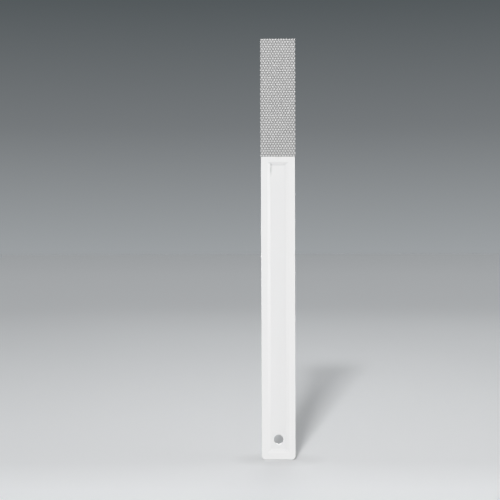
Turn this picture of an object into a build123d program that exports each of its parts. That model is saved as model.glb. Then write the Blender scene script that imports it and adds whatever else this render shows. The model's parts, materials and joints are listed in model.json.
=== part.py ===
from build123d import *
import os

# Sanding stick: a one-piece moulded handle with a patch of dotted abrasive cloth bonded to its head.
# X runs across the stick, Y through its thickness and Z along it. The abrasive faces -Y.
# The origin is the middle of the lower end face. All lengths are in millimetres.

# Handle moulding
stick_width = 19.0
stick_length = 235.0
stick_thickness = 4.0
face_level = stick_thickness / 2
lower_corner_radius = 2.2
upper_corner_radius = 1.1
long_edge_radius = 0.5

# Head: the upper stretch that carries the patch, with a seat in front and a relief behind
patch_length = 65.7
patch_base = stick_length - patch_length
seat_depth = 0.45
seat_level = face_level - seat_depth
head_relief = 0.6
head_back_level = face_level - head_relief
relief_base = 161.5
relief_top = 179.0

# Recesses either side of the web. Each wall slopes from a foot on the floor out to the mouth.
mouth_half_width = 6.0
floor_half_width = 4.05
floor_level = 0.8
lower_end_foot = 5.4
lower_end_mouth = 4.2
front_upper_foot = 164.4
front_upper_mouth = 166.3
mouth_edge_radius = 0.5
foot_radius = 1.0

# Deep pocket behind the head, reached by a ramp from the back recess
pocket_half_width = 3.8
pocket_level = -0.25
pocket_ramp_base = 165.0
pocket_ramp_top = 176.0
pocket_upper_foot = 228.6
pocket_upper_mouth = 229.7

# How far a cutting shape is carried past the face that it opens on
open_level = face_level + 1.0
end_wall_reach = 1.4

# How near to facing straight back a flat face must be to count as part of the back
facing_share = 0.9
# Room left when telling one edge or face from its neighbours by its place
place_margin = 0.1
mouth_margin = 0.5

# Hang hole through the web
hang_hole_radius = 2.65
hang_hole_height = 11.3

# Abrasive patch, a little wider than the handle, from the seat outwards
patch_width = 19.5
film_thickness = 0.12
film_inset = 0.4
cloth_thickness = 0.45
cloth_corner_radius = 0.3
coat_thickness = 0.12
dot_height = 0.25
dot_radius = 0.575
dot_top_chamfer = 0.12
dot_spacing = 1.525
dot_row_pitch = 1.32
dot_row_count = 50
dots_in_row = 13

film_outer = seat_level + film_thickness
cloth_outer = film_outer + cloth_thickness
coat_outer = cloth_outer + coat_thickness
patch_middle = patch_base + patch_length / 2


def side_profile(front_level):
    """Outline of the handle seen from its edge, with the relief behind the head."""
    points = [
        (-front_level, 0),
        (-front_level, stick_length),
        (head_back_level, stick_length),
        (head_back_level, relief_top),
        (face_level, relief_base),
        (face_level, 0),
    ]
    return Plane.YZ * make_face(Polyline(*points, close=True))


def squared_blank(front_level):
    """The handle's side and plan outlines, with its long edges still sharp."""
    blank = extrude(side_profile(front_level), amount=stick_width / 2, both=True)
    across = blank.edges().filter_by(Axis.Y).group_by(Axis.Z)
    blank = fillet(across[0], lower_corner_radius)
    across = blank.edges().filter_by(Axis.Y).group_by(Axis.Z)
    return fillet(across[-1], upper_corner_radius)


def rim(faces):
    """Outline of a run of neighbouring faces: the edges that only one of them has."""
    edges = [edge for face in faces for edge in face.edges()]
    return [edge for edge in edges if sum(edge.is_same(other) for other in edges) == 1]


def back_lands(solid):
    """The flat faces at the back of the handle, without the floor of the recess."""
    facing_back = [face for face in solid.faces() if face.normal_at().Y > facing_share]
    return [face for face in facing_back if face.center().Y > floor_level + place_margin]


def front_land(solid):
    return solid.faces().sort_by(Axis.Y)[0]


def handle_blank():
    """The handle before its recesses are cut: all long edges round, but square round the seat."""
    grip = squared_blank(face_level)
    grip = fillet(rim(back_lands(grip)) + rim([front_land(grip)]), long_edge_radius)
    head = squared_blank(seat_level)
    head = fillet(rim(back_lands(head)), long_edge_radius)
    upper_half = Box(2 * stick_width, 2 * stick_width, stick_length)
    upper_half = Pos(0, 0, patch_base + stick_length / 2) * upper_half
    return (grip - upper_half) + (head & upper_half)


def wall_slope(face, floor, half_width):
    return (mouth_half_width - half_width) / (face - floor)


def trapezium(height, floor, half_width, slope):
    """Cross-section of a trough, from its floor out past the face of the handle."""
    outer_half_width = half_width + slope * (open_level - floor)
    points = [
        (-half_width, floor),
        (half_width, floor),
        (outer_half_width, open_level),
        (-outer_half_width, open_level),
    ]
    return Pos(0, 0, height) * make_face(Polyline(*points, close=True))


def station(height, face, floor, half_width):
    return trapezium(height, floor, half_width, wall_slope(face, floor, half_width))


def end_station(foot, mouth, face, floor, half_width):
    """Where an end wall, rising from its foot through its mouth, has left the handle."""
    slope = wall_slope(face, floor, half_width)
    rise = (face - floor) * end_wall_reach
    height = foot + (mouth - foot) * end_wall_reach
    return trapezium(height, floor + rise, half_width + slope * rise, slope)


def trough(stations):
    """Cut with sloping walls and rounded inner corners, open towards +Y."""
    cut = loft(stations, ruled=True)
    lengthwise = cut.edges().filter_by(Axis.X, reverse=True)
    sunk = [edge for edge in lengthwise if max((edge @ 0).Y, (edge @ 1).Y) < open_level - place_margin]
    return fillet(sunk, foot_radius)


def back_cut():
    """The back recess and the head pocket, as one trough whose floor ramps down under the head."""
    relief_slope = head_relief / (relief_top - relief_base)
    ramp_base_face = face_level - relief_slope * (pocket_ramp_base - relief_base)
    ramp_top_face = face_level - relief_slope * (pocket_ramp_top - relief_base)
    grip = (face_level, floor_level, floor_half_width)
    head = (head_back_level, pocket_level, pocket_half_width)
    stations = [
        end_station(lower_end_foot, lower_end_mouth, *grip),
        station(lower_end_foot, *grip),
        station(relief_base, *grip),
        station(pocket_ramp_base, ramp_base_face, floor_level, floor_half_width),
        station(pocket_ramp_top, ramp_top_face, pocket_level, pocket_half_width),
        station(relief_top, *head),
        station(pocket_upper_foot, *head),
        end_station(pocket_upper_foot, pocket_upper_mouth, *head),
    ]
    return trough(stations)


def front_cut():
    grip = (face_level, floor_level, floor_half_width)
    stations = [
        end_station(lower_end_foot, lower_end_mouth, *grip),
        station(lower_end_foot, *grip),
        station(front_upper_foot, *grip),
        end_station(front_upper_foot, front_upper_mouth, *grip),
    ]
    return mirror(trough(stations), about=Plane.XZ)


def hang_hole():
    place = Pos(0, 0, hang_hole_height) * Rot(X=90)
    return place * Cylinder(hang_hole_radius, 2 * stick_thickness)


def mouth_edges(solid):
    """The edges where the walls of the two recesses meet the flat faces of the handle."""
    across = 2 * (mouth_half_width + mouth_margin)
    along = stick_length - 2 * (lower_end_mouth - mouth_margin)
    core = Pos(0, 0, stick_length / 2) * Box(across, 2 * stick_width, along)
    edges = rim(back_lands(solid)) + front_land(solid).inner_wires()[0].edges()
    return [edge for edge in edges if core.is_inside(edge.center())]


def handle():
    solid = handle_blank() - front_cut() - back_cut()
    return fillet(mouth_edges(solid), mouth_edge_radius) - hang_hole()


def at_front(level):
    """Plane at that depth in front of the stick's middle, with its normal to the front."""
    return Plane.XZ.offset(level)


def patch_layer(inner, outer, inset):
    """One rectangular layer of the patch, between two levels in front of the stick's middle."""
    outline = RectangleRounded(patch_width - 2 * inset, patch_length - 2 * inset, cloth_corner_radius)
    return extrude(at_front(inner) * Pos(0, patch_middle) * outline, amount=outer - inner)


def whole_dot():
    dot = Rot(X=90) * Cylinder(dot_radius, dot_height, align=(Align.CENTER, Align.CENTER, Align.MIN))
    top = dot.edges().group_by(Axis.Y)[0]
    return chamfer(top, dot_top_chamfer)


def dot_places():
    """Centres of the dots: rows across the patch, a quarter spacing off to the left and right in turn."""
    places = []
    for row in range(dot_row_count):
        shift = dot_spacing / 4 if row % 2 else -dot_spacing / 4
        height = patch_middle + (row - (dot_row_count - 1) / 2) * dot_row_pitch
        for index in range(dots_in_row):
            places.append(((index - (dots_in_row - 1) / 2) * dot_spacing + shift, height))
    return places


def abrasive_dots():
    """Every dot of the patch, with those on its outline cut off flush."""
    dot = whole_dot()
    patch = Pos(0, 0, patch_middle) * Box(patch_width, 2 * stick_thickness, patch_length)
    whole_half_width = patch_width / 2 - dot_radius
    whole_half_length = patch_length / 2 - dot_radius
    dots = []
    for x, height in dot_places():
        placed = Pos(x, -coat_outer, height) * dot
        if abs(x) > whole_half_width or abs(height - patch_middle) > whole_half_length:
            placed = placed & patch
        dots.append(placed)
    return Compound(children=dots)


nodes = {
    "handle": handle(),
    "adhesive_film": patch_layer(seat_level, film_outer, film_inset),
    "backing_cloth": patch_layer(film_outer, cloth_outer, 0),
    "resin_coat": patch_layer(cloth_outer, coat_outer, 0),
    "abrasive_dots": abrasive_dots(),
}

os.makedirs("parts", exist_ok=True)
for name, shape in nodes.items():
    export_step(shape, f"parts/{name}.step")
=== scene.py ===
"""Looks of a sanding stick: a moulded plastic handle with a patch of dotted abrasive cloth on its head.

X runs across the stick, Y through it and Z along it. The abrasive faces -Y. Lengths are in metres.
"""

import json
import math

import bmesh
import bpy
import numpy as np
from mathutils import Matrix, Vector


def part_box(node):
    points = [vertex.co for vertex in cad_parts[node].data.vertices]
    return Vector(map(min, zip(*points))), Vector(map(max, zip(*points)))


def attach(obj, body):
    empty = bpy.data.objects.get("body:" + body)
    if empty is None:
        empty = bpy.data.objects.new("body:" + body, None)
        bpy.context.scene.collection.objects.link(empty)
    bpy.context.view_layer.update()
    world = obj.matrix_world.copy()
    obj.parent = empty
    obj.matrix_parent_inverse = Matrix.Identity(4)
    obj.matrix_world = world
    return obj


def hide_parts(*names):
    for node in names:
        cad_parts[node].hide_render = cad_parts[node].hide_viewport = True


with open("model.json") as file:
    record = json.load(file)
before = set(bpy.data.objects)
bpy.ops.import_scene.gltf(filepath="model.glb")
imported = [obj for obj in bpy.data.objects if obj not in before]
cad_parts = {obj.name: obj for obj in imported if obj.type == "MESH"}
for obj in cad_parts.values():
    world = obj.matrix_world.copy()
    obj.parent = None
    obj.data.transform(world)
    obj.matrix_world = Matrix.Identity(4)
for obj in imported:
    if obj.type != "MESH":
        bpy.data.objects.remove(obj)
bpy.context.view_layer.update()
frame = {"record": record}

MM = 0.001
# Vertices nearer together than this are one
same_point = 0.0001 * MM

# ---------------------------------------------------------------- sizes taken from the frame

handle_low, handle_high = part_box("handle")
film_low, film_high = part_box("adhesive_film")
cloth_low, cloth_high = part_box("backing_cloth")
coat_low, coat_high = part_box("resin_coat")
dots_low, dots_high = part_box("abrasive_dots")
hang_hole = next(m for m in frame["record"]["mounts"] if m["name"] == "hang_hole")

half_width = handle_high.x
length = handle_high.z
face_level = -handle_low.y
seat_level = -film_high.y
seat_height = cloth_low.z
patch_half_width = cloth_high.x
patch_middle = (cloth_low.z + cloth_high.z) / 2
patch_length = cloth_high.z - cloth_low.z
hole_height = hang_hole["pos_m"][2]
hole_radius = hang_hole["dims"]["r_mm"] * MM

# ---------------------------------------------------------------- sizes of the handle moulding

lower_corner_radius = 2.2 * MM
upper_corner_radius = 1.1 * MM
long_edge_radius = 0.5 * MM
seat_edge_radius = 0.15 * MM
hole_rim_radius = 0.22 * MM
draft = 0.03 * MM
parting_ridge = 0.012 * MM
parting_ridge_width = 0.05 * MM

mouth_half_width = 6.0 * MM
floor_half_width = 4.05 * MM
floor_level = 0.8 * MM
lower_end_foot = 5.4 * MM
lower_end_mouth = 4.2 * MM
front_upper_foot = 164.4 * MM
front_upper_mouth = 166.3 * MM
upper_sink = 0.2 * MM
sink_base = 157.5 * MM
crease_place = 4.0 * MM
crease_half_width = 0.45 * MM
crease_depth = 0.38 * MM
crease_base = 158.5 * MM
crease_top = 163.8 * MM
mouth_edge_radius = 0.5 * MM
foot_radius = 1.0 * MM
# The short upper end walls have a foot of this share of the usual rounding
upper_foot_share = 0.5
# Slope of the back's side walls, as far as the rounding of their corners is concerned
back_wall_slope = 0.7
# How far the ends of a ramp are softened: 0 leaves it straight
ramp_softness = 0.3

head_back_level = 1.4 * MM
relief_base = 161.5 * MM
relief_top = 179.0 * MM
pocket_half_width = 3.8 * MM
pocket_level = -0.25 * MM
pocket_ramp_base = 165.0 * MM
pocket_ramp_top = 176.0 * MM
pocket_upper_foot = 228.6 * MM
pocket_upper_mouth = 229.7 * MM
gate_dish_height = 170.2 * MM
gate_dish_radius = 2.4 * MM
gate_dish_depth = 0.24 * MM

# How far the painted shade reaches from the middle of the crease and of the gate dish.
# The shares are of the crease's length and of the dish's radius.
crease_painted_shade_width = 0.9 * MM
crease_painted_shade_depth = 1.2 * MM
crease_painted_shade_share = 0.6
gate_painted_shade_share = 1.6

# ---------------------------------------------------------------- sizes of the patch

dot_radius = 0.575 * MM
dot_spacing = 1.525 * MM
dot_row_pitch = 1.32 * MM
dot_row_count = 50
dots_in_row = 13
# Section of a dot, from its foot to the edge of its middle, as shares of its radius and height
dot_profile_radii = (1.0, 1.0, 0.975, 0.92, 0.8, 0.6, 0.32)
dot_profile_heights = (0.0, 0.42, 0.66, 0.83, 0.93, 0.965, 0.97)
dot_middle_height = 0.98
# Irregularity of the dots, as shares of their radius and height
dot_outline = 0.97
dot_lobes = 0.012
dot_side_grit = 0.014
dot_top_grit = 0.03
lowest_dot = 0.9

weave_pitch = 0.35 * MM
thread_height = 0.012 * MM
fray = 0.03 * MM
coat_thinning = 0.06 * MM
coat_thinning_reach = 0.3 * MM
# The coat's rim stands in by these shares of its half-width and half-length
coat_inset_across = 0.002
coat_inset_along = 0.0006
film_inset = 0.11 * MM
film_step = 0.6 * MM
# What lies nearer than this to an outline belongs to it
outline_margin = 0.01 * MM


# ---------------------------------------------------------------- mesh helpers


def new_object(name, vertices, faces):
    mesh = bpy.data.meshes.new(name)
    mesh.from_pydata([tuple(v) for v in vertices], [], faces)
    mesh.validate()
    mesh.update()
    piece = bpy.data.objects.new(name, mesh)
    bpy.context.scene.collection.objects.link(piece)
    return piece


def merge_coincident(piece):
    """Joins vertices that lie at the same point, and so removes the faces that have no area."""
    work = bmesh.new()
    work.from_mesh(piece.data)
    bmesh.ops.remove_doubles(work, verts=work.verts[:], dist=same_point)
    work.to_mesh(piece.data)
    work.free()


def shade_smooth(piece, sharp_degrees):
    piece.data.polygons.foreach_set("use_smooth", [True] * len(piece.data.polygons))
    piece.data.set_sharp_from_angle(angle=math.radians(sharp_degrees))


def strip(first, second):
    """Quads between two closed loops of vertices of the same length."""
    count = len(first)
    return [(first[i], first[(i + 1) % count], second[(i + 1) % count], second[i]) for i in range(count)]


# ---------------------------------------------------------------- the handle's surfaces


def smooth_max(a, b, width):
    """The larger of two heights, with the corner between them rounded over that width."""
    overlap = np.maximum(width - np.abs(a - b), 0) / width
    return np.maximum(a, b) + overlap * overlap * width / 4


def smooth_min(a, b, width):
    return -smooth_max(-a, -b, width)


def fillet_width(slope, radius):
    """Width for smooth_max that rounds the foot of a wall of that slope with about that radius."""
    return slope * radius * math.tan(math.atan(slope) / 2)


def edge_rounding(distance, radius):
    """How far a rounded edge has dropped at that distance in from the outline."""
    inset = np.clip(radius - distance, 0, radius)
    return radius - np.sqrt(radius * radius - inset * inset)


def outline_distance(x, z):
    """Distance in from the handle's outline, seen from the front."""
    radius = np.where(z < length / 2, lower_corner_radius, upper_corner_radius)
    across = np.abs(x) - (half_width - draft - radius)
    along = np.abs(z - length / 2) - (length / 2 - draft - radius)
    outside = np.hypot(np.maximum(across, 0), np.maximum(along, 0))
    return radius - outside - np.minimum(np.maximum(across, along), 0)


def ramp(z, start, end, first, last):
    """From first to last between two heights, with softened ends."""
    t = np.clip((z - start) / (end - start), 0, 1)
    soft = t * t * (3 - 2 * t)
    return first + (last - first) * ((1 - ramp_softness) * t + ramp_softness * soft)


def front_grip_level(x, z):
    """How far the front of the grip lies in front of the middle of the stick."""
    side_slope = (face_level - floor_level) / (mouth_half_width - floor_half_width)
    lower_slope = (face_level - floor_level) / (lower_end_foot - lower_end_mouth)
    upper_floor = floor_level - upper_sink
    upper_slope = (face_level - upper_floor) / (front_upper_mouth - front_upper_foot)
    floor = ramp(z, sink_base, front_upper_foot, floor_level, upper_floor)
    side = floor_level + side_slope * (np.abs(x) - floor_half_width)
    lower = floor_level + lower_slope * (lower_end_foot - z)
    upper = upper_floor + upper_slope * (z - front_upper_foot)
    level = smooth_max(floor, side, fillet_width(side_slope, foot_radius))
    level = smooth_max(level, lower, fillet_width(lower_slope, foot_radius))
    level = smooth_max(level, upper, upper_foot_share * fillet_width(upper_slope, foot_radius))
    across_crease = (x + crease_place) / crease_half_width
    along_crease = ramp(z, crease_base, crease_top, 0, 1)
    along_crease = along_crease * ramp(z, front_upper_foot, front_upper_mouth, 1, 0)
    level = level - crease_depth * along_crease * np.exp(-(across_crease**2))
    return smooth_min(level, face_level, fillet_width(side_slope, mouth_edge_radius))


def front_level(x, z, on_head):
    distance = outline_distance(x, z)
    grip = front_grip_level(x, z) - edge_rounding(distance, long_edge_radius)
    head = seat_level - edge_rounding(distance, seat_edge_radius)
    return np.where(on_head, head, grip)


def back_level(x, z):
    """How far the back of the handle lies behind the middle of the stick."""
    face = ramp(z, relief_base, relief_top, face_level, head_back_level)
    floor = ramp(z, pocket_ramp_base, pocket_ramp_top, floor_level, pocket_level)
    half = ramp(z, pocket_ramp_base, pocket_ramp_top, floor_half_width, pocket_half_width)
    side_slope = (face - floor) / (mouth_half_width - half)
    lower_slope = (face_level - floor_level) / (lower_end_foot - lower_end_mouth)
    upper_slope = (head_back_level - pocket_level) / (pocket_upper_mouth - pocket_upper_foot)
    side = floor + side_slope * (np.abs(x) - half)
    lower = floor_level + lower_slope * (lower_end_foot - z)
    upper = pocket_level + upper_slope * (z - pocket_upper_foot)
    level = smooth_max(floor, side, fillet_width(back_wall_slope, foot_radius))
    level = smooth_max(level, lower, fillet_width(lower_slope, foot_radius))
    level = smooth_max(level, upper, upper_foot_share * fillet_width(upper_slope, foot_radius))
    level = smooth_min(level, face, fillet_width(back_wall_slope, mouth_edge_radius))
    from_gate = np.hypot(x, z - gate_dish_height) / gate_dish_radius
    level = level - gate_dish_depth * np.exp(-(from_gate**4))
    return level - edge_rounding(outline_distance(x, z), long_edge_radius)


# ---------------------------------------------------------------- the handle's grid

# Square of cells in each floor that is left out for the hang hole
hole_square_half = 3.6 * MM
square_cells = 16

# Steps along the stick: fine where its section changes, coarse between
lower_corner_steps = 18
upper_corner_steps = 14
lower_end_step = 0.17 * MM
plain_step = 1.5 * MM
ramp_step = 0.2 * MM
relief_step = 0.25 * MM
pocket_end_step = 0.12 * MM
top_step = 0.4 * MM

# Where the fine steps round the ramp and the pocket's upper end begin, and where the latter end
ramp_zone_low = relief_base - 4 * MM
pocket_zone_low = pocket_upper_foot - 2 * MM
pocket_zone_high = pocket_upper_mouth + 1 * MM

# Steps across the stick: fine at the foot of the recess walls, at their mouth and at the outer edge
foot_end = 4.6 * MM
wall_end = 5.6 * MM
rail_start = mouth_half_width + 0.4 * MM
foot_step = 0.1 * MM
wall_step = 0.25 * MM
mouth_step = 0.07 * MM
rail_share_step = 0.12
long_edge_steps = 14
long_edge_reach = 1.02 * long_edge_radius

# Steps from an edge of a side to its parting line, as shares of that distance
side_shares = np.array([0, 0.2, 0.4, 0.6, 0.75, 0.86, 0.92, 0.96, 0.98, 1.0])

# Steps of the hang hole's rims and bore, and of the floor between the square and the rims
rim_steps = 5
bore_step = 0.25 * floor_level
square_to_round = (0.3, 0.55, 0.8)


def arc_steps(radius, count):
    """Distances from the edge of a rounding to its end, closest together where it is steepest."""
    return [radius * (1 - math.cos(math.pi / 2 * i / count)) for i in range(count + 1)]


def spaced(start, end, step):
    """Evenly spaced values from start up to, but not including, end."""
    count = max(1, round((end - start) / step))
    return [start + (end - start) * i / count for i in range(count)]


def grid_heights():
    """Heights of the grid's rows, and which of them are on the head."""
    lower = [draft + s for s in arc_steps(lower_corner_radius, lower_corner_steps)]
    upper = [length - draft - s for s in arc_steps(upper_corner_radius, upper_corner_steps)][::-1]
    square_low = hole_height - hole_square_half
    square_high = hole_height + hole_square_half
    rows = lower[:-1]
    rows += spaced(lower[-1], square_low, lower_end_step)
    rows += spaced(square_low, square_high, 2 * hole_square_half / square_cells)
    rows += spaced(square_high, ramp_zone_low, plain_step)
    rows += spaced(ramp_zone_low, seat_height, ramp_step)
    below_seat = len(rows)
    rows += [seat_height]
    rows += spaced(seat_height, relief_top, relief_step)
    rows += spaced(relief_top, pocket_zone_low, plain_step)
    rows += spaced(pocket_zone_low, pocket_zone_high, pocket_end_step)
    rows += spaced(pocket_zone_high, upper[0], top_step)
    rows += upper
    return np.array(rows), np.arange(len(rows)) > below_seat


def outline_at(heights):
    """Half-width of the outline at each height, and its outward direction there."""
    radius = np.where(heights < length / 2, lower_corner_radius, upper_corner_radius)
    from_end = np.where(heights < length / 2, heights - draft, length - draft - heights)
    inset = np.clip(radius - from_end, 0, radius) / radius
    across = np.sqrt(np.maximum(1 - inset * inset, 0))
    along = np.where(heights < length / 2, -inset, inset)
    return half_width - draft - radius + radius * across, across, along


def column_grid(edge_x):
    """Places of the grid's columns, from the left edge to the right, for rows with those half-widths."""
    inner = spaced(0, hole_square_half, 2 * hole_square_half / square_cells)
    inner += spaced(hole_square_half, foot_end, foot_step)
    inner += spaced(foot_end, wall_end, wall_step)
    inner += spaced(wall_end, rail_start, mouth_step)
    rail_width = half_width - draft - rail_start
    edge = [1 - s / rail_width for s in arc_steps(long_edge_reach, long_edge_steps)][::-1]
    shares = np.array(spaced(0, edge[0], rail_share_step) + edge)
    outer = rail_start + (edge_x[:, None] - rail_start) * shares[None, :]
    half = np.concatenate([np.broadcast_to(inner, (len(edge_x), len(inner))), outer], axis=1)
    return np.concatenate([-half[:, :0:-1], half], axis=1)


def side_points(front_y, back_y):
    """Depths of the side's columns from the front edge, over the parting line, to the back edge."""
    front_half = front_y[:, None] * (1 - side_shares[None, :])
    back_half = back_y[:, None] * side_shares[None, 1:]
    return np.concatenate([front_half, back_half], axis=1)


def bulge(depths, front_y, back_y):
    """How far the drafted side stands out of the outline: most at the parting line, with its small ridge."""
    reach = np.where(depths < 0, -front_y[:, None], back_y[:, None])
    taper = draft * (1 - np.abs(depths) / reach)
    ridge = np.exp(-((depths / parting_ridge_width) ** 2))
    return taper * (1 - parting_ridge / draft) + parting_ridge * ridge * (np.abs(depths) < reach)


def build_handle():
    """Rings of vertices round the stick, one per row, closed by an end cap at each end."""
    heights, on_head = grid_heights()
    edge_x, across, along = outline_at(heights)
    x = column_grid(edge_x)
    z = np.broadcast_to(heights[:, None], x.shape)
    head = np.broadcast_to(on_head[:, None], x.shape)
    front_y = -front_level(x, z, head)
    back_y = back_level(x, z)
    depths = side_points(front_y[:, 0], back_y[:, 0])
    stand_out = bulge(depths, front_y[:, 0], back_y[:, 0])
    side_x = edge_x[:, None] + stand_out * across[:, None]
    side_z = heights[:, None] + stand_out * along[:, None]

    front = np.stack([x, front_y, z], axis=2)
    back = np.stack([x, back_y, z], axis=2)
    right = np.stack([side_x, depths, side_z], axis=2)[:, 1:-1]
    left = right * np.array([-1, 1, 1])
    rings = np.concatenate([front, right, back[:, ::-1], left[:, ::-1]], axis=1)

    row_count, ring_size = rings.shape[:2]
    columns = x.shape[1]
    back_start = columns + right.shape[1]
    back_end = back_start + columns
    index = np.arange(row_count * ring_size).reshape(row_count, ring_size)
    front_index = index[:, :columns]
    right_index = index[:, columns:back_start]
    back_index = index[:, back_start:back_end][:, ::-1]
    left_index = index[:, back_end:][:, ::-1]
    vertices = list(rings.reshape(-1, 3))

    low_column = columns // 2 - square_cells // 2
    high_column = columns // 2 + square_cells // 2
    low_row = int(np.argmin(np.abs(heights - (hole_height - hole_square_half))))
    high_row = low_row + square_cells

    faces = []
    for row in range(row_count - 1):
        beside_hole = low_row <= row < high_row
        lower, upper = index[row], index[row + 1]
        for column in range(ring_size):
            back_column = back_end - 1 - column
            if beside_hole and low_column <= column < high_column:
                continue
            if beside_hole and column >= back_start and low_column < back_column <= high_column:
                continue
            following = (column + 1) % ring_size
            faces.append((lower[column], lower[following], upper[following], upper[column]))

    for row, flip in ((0, False), (row_count - 1, True)):
        borders = [border[row] for border in (front_index, left_index, right_index, back_index)]
        add_end_cap(vertices, faces, borders, x[row], depths[row], side_z[row], flip)
    square = (low_row, high_row, low_column, high_column)
    add_hang_hole(vertices, faces, square_loop(front_index, *square), square_loop(back_index, *square))

    used = np.zeros(len(vertices), bool)
    for face in faces:
        used[list(face)] = True
    new_index = np.cumsum(used) - 1
    kept = [vertex for vertex, keep in zip(vertices, used) if keep]
    renumbered = [tuple(int(new_index[i]) for i in face) for face in faces]
    piece = new_object("handle_moulding", kept, renumbered)
    merge_coincident(piece)
    shade_smooth(piece, sharp_degrees=35)
    return piece


def add_end_cap(vertices, faces, borders, x, depths, heights, flip):
    """Closes one end with a grid between its front, left, right and back borders, crowned like the sides."""
    front, left, right, back = borders
    lines = [list(front)]
    for step in range(1, len(depths) - 1):
        line = [left[step - 1]]
        for place in x[1:-1]:
            line.append(len(vertices))
            vertices.append(np.array([place, depths[step], heights[step]]))
        line.append(right[step - 1])
        lines.append(line)
    lines.append(list(back))
    for first, second in zip(lines, lines[1:]):
        for column in range(len(x) - 1):
            quad = (first[column], second[column], second[column + 1], first[column + 1])
            faces.append(quad[::-1] if flip else quad)


def square_loop(index, low_row, high_row, low_column, high_column):
    """The vertices round a square of cells, from its lower left corner."""
    loop = [index[low_row, c] for c in range(low_column, high_column)]
    loop += [index[r, high_column] for r in range(low_row, high_row)]
    loop += [index[high_row, c] for c in range(high_column, low_column, -1)]
    loop += [index[r, low_column] for r in range(high_row, low_row, -1)]
    return loop


def add_hang_hole(vertices, faces, front_loop, back_loop):
    """Fills the square left in both floors with a round hole whose rims are rounded."""
    count = len(front_loop)
    lower_left = math.radians(-135)
    angles = [lower_left + 2 * math.pi * i / count for i in range(count)]
    rim = [i * math.pi / 2 / rim_steps for i in range(rim_steps + 1)]
    flare = [hole_radius + hole_rim_radius * (1 - math.sin(a)) for a in rim]
    drop = [floor_level - hole_rim_radius * (1 - math.cos(a)) for a in rim]
    circles = [(r, -y) for r, y in zip(flare, drop)]
    circles += [(hole_radius, bore_step * i) for i in range(-2, 3)]
    circles += [(r, y) for r, y in zip(flare[::-1], drop[::-1])]

    def ring(points):
        start = len(vertices)
        vertices.extend(np.array(p) for p in points)
        return list(range(start, start + count))

    def circle(radius, y):
        return [(radius * math.cos(a), y, hole_height + radius * math.sin(a)) for a in angles]

    def between(square, radius, y, share):
        round_points = np.array(circle(radius, y))
        corners = np.array([vertices[i] for i in square])
        return list(corners * (1 - share) + round_points * share)

    loops = [front_loop]
    loops += [ring(between(front_loop, flare[0], -floor_level, s)) for s in square_to_round]
    loops += [ring(circle(r, y)) for r, y in circles]
    loops += [ring(between(back_loop, flare[0], floor_level, s)) for s in square_to_round[::-1]]
    loops.append(back_loop)
    for first, second in zip(loops, loops[1:]):
        faces.extend(strip(first, second))


# ---------------------------------------------------------------- the patch


def dot_places():
    """Centres of the dots: rows across the patch, a quarter spacing off to the left and right in turn."""
    places = []
    for row in range(dot_row_count):
        shift = dot_spacing / 4 if row % 2 else -dot_spacing / 4
        height = patch_middle + (row - (dot_row_count - 1) / 2) * dot_row_pitch
        for place in range(dots_in_row):
            places.append(((place - (dots_in_row - 1) / 2) * dot_spacing + shift, height))
    return places


def build_dots():
    """Plated dots with irregular outlines and gritty tops, cut flush along the patch outline."""
    random = np.random.default_rng(11)
    segments = 22
    dot_height = dots_high.y - dots_low.y
    angles = 2 * math.pi * np.arange(segments) / segments
    vertices, faces = [], []
    for x, z in dot_places():
        start = len(vertices)
        outline = np.full(segments, dot_outline)
        for wave in (2, 3, 5):
            outline = outline + dot_lobes * np.cos(wave * angles + random.uniform(0, 2 * math.pi))
        tall = dot_height * random.uniform(lowest_dot, 1.0)
        for radius, height in zip(dot_profile_radii, dot_profile_heights):
            rough = 0.0 if height == 0 else 1.0
            side_grit = dot_side_grit * rough * random.uniform(-1, 1, segments)
            top_grit = dot_top_grit * rough * random.uniform(-1, 1, segments)
            radii = dot_radius * radius * outline * (1 + side_grit)
            heights = tall * (height + top_grit)
            for angle, radial, high in zip(angles, radii, heights):
                across, up = radial * math.cos(angle), radial * math.sin(angle)
                vertices.append((x + across, dots_high.y - high, z + up))
        top = len(vertices)
        vertices.append((x, dots_high.y - tall * dot_middle_height, z))
        rings = [list(range(first, first + segments)) for first in range(start, top, segments)]
        for low, high in zip(rings, rings[1:]):
            faces.extend(strip(low, high))
        last = rings[-1]
        faces.extend((last[i], last[(i + 1) % segments], top) for i in range(segments))
        faces.append(tuple(reversed(rings[0])))
    piece = new_object("plated_dots", vertices, faces)
    trim_to_patch(piece)
    merge_coincident(piece)
    shade_smooth(piece, sharp_degrees=50)
    return piece


def trim_to_patch(piece):
    """Cuts off what stands over the patch outline, and closes the cut faces."""
    work = bmesh.new()
    work.from_mesh(piece.data)
    planes = [
        (Vector((patch_half_width, 0, 0)), Vector((1, 0, 0))),
        (Vector((-patch_half_width, 0, 0)), Vector((-1, 0, 0))),
        (Vector((0, 0, cloth_high.z)), Vector((0, 0, 1))),
        (Vector((0, 0, cloth_low.z)), Vector((0, 0, -1))),
    ]
    for point, outward in planes:
        everything = work.verts[:] + work.edges[:] + work.faces[:]
        bmesh.ops.bisect_plane(work, geom=everything, plane_co=point, plane_no=outward, clear_outer=True)
        open_edges = [e for e in work.edges if e.is_boundary]
        bmesh.ops.holes_fill(work, edges=open_edges, sides=0)
    bmesh.ops.recalc_face_normals(work, faces=work.faces[:])
    work.to_mesh(piece.data)
    work.free()


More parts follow.
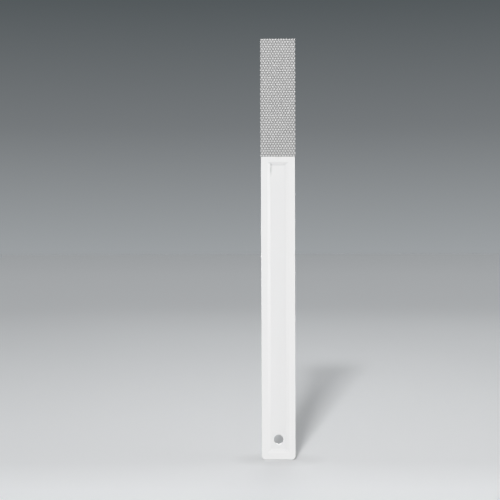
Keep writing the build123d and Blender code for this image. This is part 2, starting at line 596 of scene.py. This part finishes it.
def slab(name, low, high, step, relief, edge):
    """A thin closed slab in the patch's plane.

    relief gives how far its front is sunk, and edge where its vertices lie once the rim is drawn in.
    """
    columns = round((high.x - low.x) / step)
    rows = round((high.z - low.z) / step)
    x = np.linspace(low.x, high.x, columns + 1)[None, :] + np.zeros((rows + 1, 1))
    z = np.linspace(low.z, high.z, rows + 1)[:, None] + np.zeros((1, columns + 1))
    x_in, z_in = edge(x, z)
    front = np.stack([x_in, low.y + relief(x, z), z_in], axis=2)
    back = np.stack([x_in, np.full_like(x, high.y), z_in], axis=2)
    index = np.arange(x.size).reshape(x.shape)
    offset = index.size
    faces = []
    for r in range(rows):
        for c in range(columns):
            quad = (index[r, c], index[r, c + 1], index[r + 1, c + 1], index[r + 1, c])
            faces.append(tuple(int(i) for i in quad))
            faces.append(tuple(int(i) + offset for i in reversed(quad)))
    front_rim = [int(i) for i in square_loop(index, 0, rows, 0, columns)]
    back_rim = [i + offset for i in front_rim]
    faces.extend(strip(back_rim, front_rim))
    vertices = np.concatenate([front.reshape(-1, 3), back.reshape(-1, 3)])
    return new_object(name, vertices, faces)


def weave(x, z):
    """How far the backing's front is sunk between its threads."""
    threads = np.cos(2 * math.pi * x / weave_pitch) * np.cos(2 * math.pi * z / weave_pitch)
    return thread_height * (1 + threads)


def at_outline(distance, limit):
    return np.where(np.abs(distance) > limit - outline_margin, 1.0, 0.0)


def build_cloth():
    """Woven backing: a flat slab whose cut edges show the ends of its threads."""
    def thread_ends(place):
        return fray * (0.5 - 0.5 * np.cos(2 * math.pi * place / weave_pitch))

    def edge(x, z):
        pull_x = at_outline(x, patch_half_width) * thread_ends(z)
        pull_z = at_outline(z - patch_middle, patch_length / 2) * thread_ends(x)
        return x - np.sign(x) * pull_x, z - np.sign(z - patch_middle) * pull_z

    piece = slab("cloth_backing", cloth_low, cloth_high, weave_pitch / 2, weave, edge)
    shade_smooth(piece, sharp_degrees=40)
    return piece


def build_coat():
    """Resin coat: it follows the threads beneath, and thins out to the cut edge."""
    def relief(x, z):
        from_edge = np.minimum(patch_half_width - np.abs(x), patch_length / 2 - np.abs(z - patch_middle))
        thinning = coat_thinning * np.clip(1 - from_edge / coat_thinning_reach, 0, 1) ** 2
        return weave(x, z) + thinning

    def edge(x, z):
        return x * (1 - coat_inset_across), patch_middle + (z - patch_middle) * (1 - coat_inset_along)

    piece = slab("resin_layer", coat_low, coat_high, weave_pitch / 2, relief, edge)
    shade_smooth(piece, sharp_degrees=40)
    return piece


def build_film():
    """Adhesive film with a slightly wavy squeezed-out edge."""
    def relief(x, z):
        return np.zeros_like(x)

    def ripple(z, height, wavelength):
        return height * np.sin(2 * math.pi * z / wavelength)

    def edge(x, z):
        ripples = ripple(z, 0.06 * MM, 7.3 * MM) + ripple(z, 0.05 * MM, 3.1 * MM)
        pull = at_outline(x, film_high.x) * (film_inset + ripples)
        return x - np.sign(x) * pull, z

    return slab("adhesive_layer", film_low, film_high, film_step, relief, edge)


# ---------------------------------------------------------------- material helpers

# Range in which nearly all of a noise texture's values lie
noise_low = 0.3
noise_high = 0.7


def set_stops(colour_ramp, stops):
    """Gives a colour ramp these (position, colour) stops."""
    while len(colour_ramp.elements) < len(stops):
        colour_ramp.elements.new(1.0)
    for element, (position, colour) in zip(colour_ramp.elements, stops):
        element.position = position
        element.color = (*colour, 1)


class Nodes:
    """A material's node tree, with short calls for adding and joining nodes."""

    def __init__(self, name):
        self.material = bpy.data.materials.new(name)
        self.material.use_nodes = True
        self.tree = self.material.node_tree
        self.shader = self.tree.nodes["Principled BSDF"]
        self.place = self.add("ShaderNodeTexCoord").outputs["Object"]

    def add(self, kind, **values):
        node = self.tree.nodes.new(kind)
        for name, value in values.items():
            setattr(node, name, value)
        return node

    def join(self, output, socket):
        self.tree.links.new(output, socket)

    def scaled(self, size, stretch=(1, 1, 1)):
        """The object's own coordinates, counted in lengths of that size."""
        mapping = self.add("ShaderNodeMapping")
        mapping.inputs["Scale"].default_value = [s / size for s in stretch]
        self.join(self.place, mapping.inputs["Vector"])
        return mapping.outputs["Vector"]

    def noise(self, size, detail=2.0, stretch=(1, 1, 1)):
        texture = self.add("ShaderNodeTexNoise")
        texture.inputs["Scale"].default_value = 1.0
        texture.inputs["Detail"].default_value = detail
        self.join(self.scaled(size, stretch), texture.inputs["Vector"])
        return texture.outputs["Fac"]

    def cells(self, size):
        texture = self.add("ShaderNodeTexVoronoi")
        texture.inputs["Scale"].default_value = 1.0
        self.join(self.scaled(size), texture.inputs["Vector"])
        return texture

    def span(self, value, low, high, out_low, out_high):
        """Out_low to out_high, as the value goes from low to high."""
        node = self.add("ShaderNodeMapRange")
        self.join(value, node.inputs["Value"])
        names = ("From Min", "From Max", "To Min", "To Max")
        for name, number in zip(names, (low, high, out_low, out_high)):
            node.inputs[name].default_value = number
        return node.outputs["Result"]

    def varied(self, noise, low, high):
        """A number that a noise varies from low to high."""
        return self.span(noise, noise_low, noise_high, low, high)

    def tints(self, value, *stops):
        """A colour ramp through (position, colour) stops."""
        node = self.add("ShaderNodeValToRGB")
        set_stops(node.color_ramp, stops)
        self.join(value, node.inputs["Fac"])
        return node.outputs["Color"]

    def mottled(self, noise, dark, light):
        """A colour that a noise varies from dark to light."""
        return self.tints(noise, (noise_low, dark), (noise_high, light))

    def split(self, vector):
        node = self.add("ShaderNodeSeparateXYZ")
        self.join(vector, node.inputs[0])
        return node

    def nearness(self, centre, reach):
        """1 at a point of the object, falling to 0 at that reach from it along each axis."""
        vector = self.place
        for operation, other in (("SUBTRACT", centre), ("DIVIDE", reach)):
            step = self.add("ShaderNodeVectorMath", operation=operation)
            self.join(vector, step.inputs[0])
            step.inputs[1].default_value = other
            vector = step.outputs["Vector"]
        distance = self.add("ShaderNodeVectorMath", operation="LENGTH")
        self.join(vector, distance.inputs[0])
        return self.span(distance.outputs["Value"], 0.0, 1.0, 1.0, 0.0)

    def mixed(self, share, colour, factor):
        """The colour multiplied by a factor, to the extent of the share."""
        node = self.add("ShaderNodeMix", data_type="RGBA", blend_type="MULTIPLY")
        # Several of this node's sockets share a name, so they go by number
        share_socket, first_colour, second_colour = (node.inputs[i] for i in (0, 6, 7))
        self.join(share, share_socket)
        self.join(colour, first_colour)
        second_colour.default_value = (*factor, 1)
        return node.outputs[2]

    def math(self, operation, first, second):
        node = self.add("ShaderNodeMath", operation=operation)
        for socket, value in zip(node.inputs, (first, second)):
            if isinstance(value, (int, float)):
                socket.default_value = value
            else:
                self.join(value, socket)
        return node.outputs["Value"]

    def bump(self, height, depth, below=None):
        node = self.add("ShaderNodeBump")
        node.inputs["Distance"].default_value = depth
        self.join(height, node.inputs["Height"])
        if below is not None:
            self.join(below, node.inputs["Normal"])
        return node.outputs["Normal"]

    def use(self, **sockets):
        """Sets the shader's own sockets, from a number, a colour or another node's output."""
        for name, value in sockets.items():
            socket = self.shader.inputs[name.replace("_", " ").title().replace("Ior", "IOR")]
            if isinstance(value, bpy.types.NodeSocket):
                self.join(value, socket)
            else:
                socket.default_value = value
        return self.material


def give(piece, material):
    piece.data.materials.clear()
    piece.data.materials.append(material)


# ---------------------------------------------------------------- materials


def white_plastic():
    """Glossy white moulding: faint flow streaks along the stick, a fine mould grain and uneven gloss."""
    n = Nodes("white_plastic")
    streaks = n.noise(9 * MM, 3, stretch=(2.2, 2.2, 0.25))
    tint = n.mottled(streaks, (0.733, 0.727, 0.723), (0.738, 0.733, 0.729))

    # Painted shade: the thin web in the recesses is a little darker, and so are the crease in front and the
    # gate dish behind
    depth = n.math("ABSOLUTE", n.split(n.place).outputs["Y"], 0.0)
    painted_web_shade = n.span(depth, 0.9 * MM, 1.5 * MM, 1.0, 0.0)
    tint = n.mixed(painted_web_shade, tint, (0.955, 0.957, 0.96))
    # Painted shade in the crease at the foot of the front recess's left wall, near its upper end
    crease_middle = (crease_base + front_upper_mouth) / 2
    crease_shade_reach = crease_painted_shade_share * (front_upper_mouth - crease_base)
    painted_crease_shade = n.nearness(
        (-crease_place, -floor_level, crease_middle),
        (crease_painted_shade_width, crease_painted_shade_depth, crease_shade_reach),
    )
    tint = n.mixed(painted_crease_shade, tint, (0.62, 0.62, 0.62))
    # Painted shade in and round the gate dish on the back
    painted_gate_shade = n.nearness((0, floor_level / 2, gate_dish_height), (gate_painted_shade_share * gate_dish_radius,) * 3)
    tint = n.mixed(painted_gate_shade, tint, (0.72, 0.72, 0.72))

    gloss = n.varied(n.noise(14 * MM, 2), 0.28, 0.34)
    grain = n.bump(n.noise(0.16 * MM, 2), 0.0035 * MM)
    waves = n.bump(n.noise(11 * MM, 0, stretch=(1, 1, 0.3)), 0.012 * MM, grain)
    return n.use(base_color=tint, roughness=gloss, normal=waves, ior=1.5)


def plated_grit():
    """Light grey plated dots full of grit."""
    n = Nodes("abrasive_dots")
    grit = n.cells(0.075 * MM)
    shade = n.tints(grit.outputs["Color"], (0.0, (0.38, 0.377, 0.375)), (1.0, (0.61, 0.606, 0.602)))
    normal = n.bump(grit.outputs["Distance"], 0.03 * MM)
    gloss = n.varied(n.noise(0.2 * MM), 0.35, 0.6)
    return n.use(base_color=shade, roughness=gloss, normal=normal, metallic=0.25)


def grey_resin():
    n = Nodes("grey_resin")
    shade = n.mottled(n.noise(0.8 * MM, 3), (0.215, 0.213, 0.211), (0.29, 0.287, 0.284))
    normal = n.bump(n.noise(0.1 * MM, 3), 0.012 * MM)
    gloss = n.varied(n.noise(0.5 * MM), 0.4, 0.6)
    return n.use(base_color=shade, roughness=gloss, normal=normal)


def woven_cloth():
    n = Nodes("backing_cloth")
    shade = n.mottled(n.noise(0.3 * MM, 3), (0.60, 0.59, 0.57), (0.78, 0.77, 0.75))
    normal = n.bump(n.noise(0.09 * MM, 2, stretch=(1, 3, 1)), 0.03 * MM)
    gloss = n.varied(n.noise(1.2 * MM), 0.75, 0.92)
    return n.use(base_color=shade, roughness=gloss, normal=normal)


def amber_adhesive():
    n = Nodes("adhesive")
    shade = n.mottled(n.noise(2.5 * MM, 3), (0.50, 0.41, 0.26), (0.62, 0.53, 0.36))
    gloss = n.varied(n.noise(1.5 * MM), 0.15, 0.3)
    normal = n.bump(n.noise(0.6 * MM), 0.01 * MM)
    return n.use(base_color=shade, roughness=gloss, normal=normal)


# ---------------------------------------------------------------- floor, backdrop and lights

# Distance from the stick at which the floor's closeness to it has halved
sweep_reach = 0.777


def floor_material():
    """Pale studio sweep: painted shade darkening it close to the stick, painted light a tenth lighter in
    front of it, and a painted glow far off.
    """
    n = Nodes("studio_floor")
    distance = n.add("ShaderNodeVectorMath", operation="LENGTH")
    n.join(n.place, distance.inputs[0])
    closeness = n.math("DIVIDE", sweep_reach, n.math("ADD", distance.outputs["Value"], sweep_reach))
    # Painted shade: the floor darkens towards the stick, most of all at its foot
    shade = n.tints(
        closeness,
        (0.0, (0.93, 0.95, 0.965)),
        (0.965, (0.84, 0.845, 0.853)),
        (1.0, (0.69, 0.692, 0.696)),
    )
    # Painted light: the floor in front of the stick is a tenth lighter
    painted_front_light = n.span(n.split(n.place).outputs["Y"], -0.1, -0.01, 1.0, 0.0)
    shade = n.mixed(painted_front_light, shade, (1.1, 1.1, 1.1))
    paper = n.bump(n.noise(1.2 * MM, 3), 0.02 * MM)
    gloss = n.varied(n.noise(0.2), 0.8, 0.9)
    # Painted light: the far floor glows
    painted_far_glow = n.span(closeness, 0.12, 0.28, 0.1, 0.0)
    n.use(emission_color=(0.35, 0.36, 0.37, 1), emission_strength=painted_far_glow)
    return n.use(base_color=shade, roughness=gloss, normal=paper, specular_ior_level=0.1)


def build_floor():
    reach = 40
    corners = [(-reach, -reach, 0), (reach, -reach, 0), (reach, reach, 0), (-reach, reach, 0)]
    floor = new_object("floor", corners, [(0, 1, 2, 3)])
    give(floor, floor_material())


def build_backdrop():
    """Grey behind the stick, darker upwards, and light again overhead."""
    world = bpy.data.worlds.new("studio")
    world.use_nodes = True
    tree = world.node_tree
    place = tree.nodes.new("ShaderNodeTexCoord")
    split = tree.nodes.new("ShaderNodeSeparateXYZ")
    shades = tree.nodes.new("ShaderNodeValToRGB")
    stops = (
        (0, (0.333, 0.352, 0.366)),
        (0.088, (0.177, 0.190, 0.199)),
        (0.177, (0.0878, 0.101, 0.1076)),
        (0.3, (0.075, 0.085, 0.09)),
        (0.5, (0.15, 0.16, 0.165)),
        (0.7, (0.35, 0.355, 0.36)),
        (0.9, (0.485, 0.49, 0.495)),
    )
    set_stops(shades.color_ramp, stops)
    tree.links.new(place.outputs["Generated"], split.inputs[0])
    tree.links.new(split.outputs["Z"], shades.inputs["Fac"])
    tree.links.new(shades.outputs["Color"], tree.nodes["Background"].inputs["Color"])
    bpy.context.scene.world = world


def area_light(name, place, target, size, power, beam=None):
    """A soft box. With a beam angle it has a grid in front, and is as bright far off as near to."""
    lamp = bpy.data.lights.new(name, "AREA")
    lamp.shape = "RECTANGLE"
    lamp.size, lamp.size_y = size
    lamp.energy = power
    holder = bpy.data.objects.new(name, lamp)
    holder.location = place
    holder.rotation_euler = (Vector(target) - Vector(place)).to_track_quat("-Z", "Y").to_euler()
    holder.visible_camera = False
    bpy.context.scene.collection.objects.link(holder)
    if beam:
        lamp.spread = math.radians(beam)
        lamp.use_nodes = True
        nodes = lamp.node_tree.nodes
        even = nodes.new("ShaderNodeLightFalloff")
        even.inputs["Strength"].default_value = 1.0
        lamp.node_tree.links.new(even.outputs["Constant"], nodes["Emission"].inputs["Strength"])


def build_lights():
    middle = (0, 0, length / 2)
    area_light("key", (-0.105, -1.0, 0.60), middle, (0.085, 0.085), 3.55, beam=130)
    area_light("left_side", (-1.3, -0.36, 0.15), middle, (0.6, 0.26), 0.15, beam=50)
    area_light("right_side", (1.3, -0.43, 0.15), middle, (0.6, 0.26), 0.26, beam=50)
    area_light("rear", (0.25, 2.5, 0.2), middle, (1.2, 0.3), 0.19, beam=40)


def build_camera():
    lens = bpy.data.cameras.new("camera")
    lens.lens = 100
    lens.sensor_width = 36
    holder = bpy.data.objects.new("camera", lens)
    holder.location = (-0.0157, -0.777, 0.1172)
    holder.rotation_euler = (math.radians(90), math.radians(0.15), 0)
    bpy.context.scene.collection.objects.link(holder)
    bpy.context.scene.camera = holder


def set_tones():
    """Plain tones with soft highlights."""
    view = bpy.context.scene.view_settings
    view.view_transform = "Standard"
    view.use_curve_mapping = True
    curve = view.curve_mapping.curves[3]
    curve.points[-1].location = (1.0, 0.88)
    for scene_tone, shown_tone in ((0.76, 0.76), (0.88, 0.83)):
        curve.points.new(scene_tone, shown_tone)
    for point in curve.points:
        point.handle_type = "VECTOR"
    view.curve_mapping.update()


# ---------------------------------------------------------------- putting it together


def add_piece(piece, node, material):
    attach(piece, "root")
    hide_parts(node)
    give(piece, material)
    return piece


build_camera()
build_floor()
build_backdrop()
build_lights()
set_tones()

moulding = add_piece(build_handle(), "handle", white_plastic())
add_piece(build_film(), "adhesive_film", amber_adhesive())
cloth = add_piece(build_cloth(), "backing_cloth", woven_cloth())
add_piece(build_coat(), "resin_coat", grey_resin())
add_piece(build_dots(), "abrasive_dots", plated_grit())
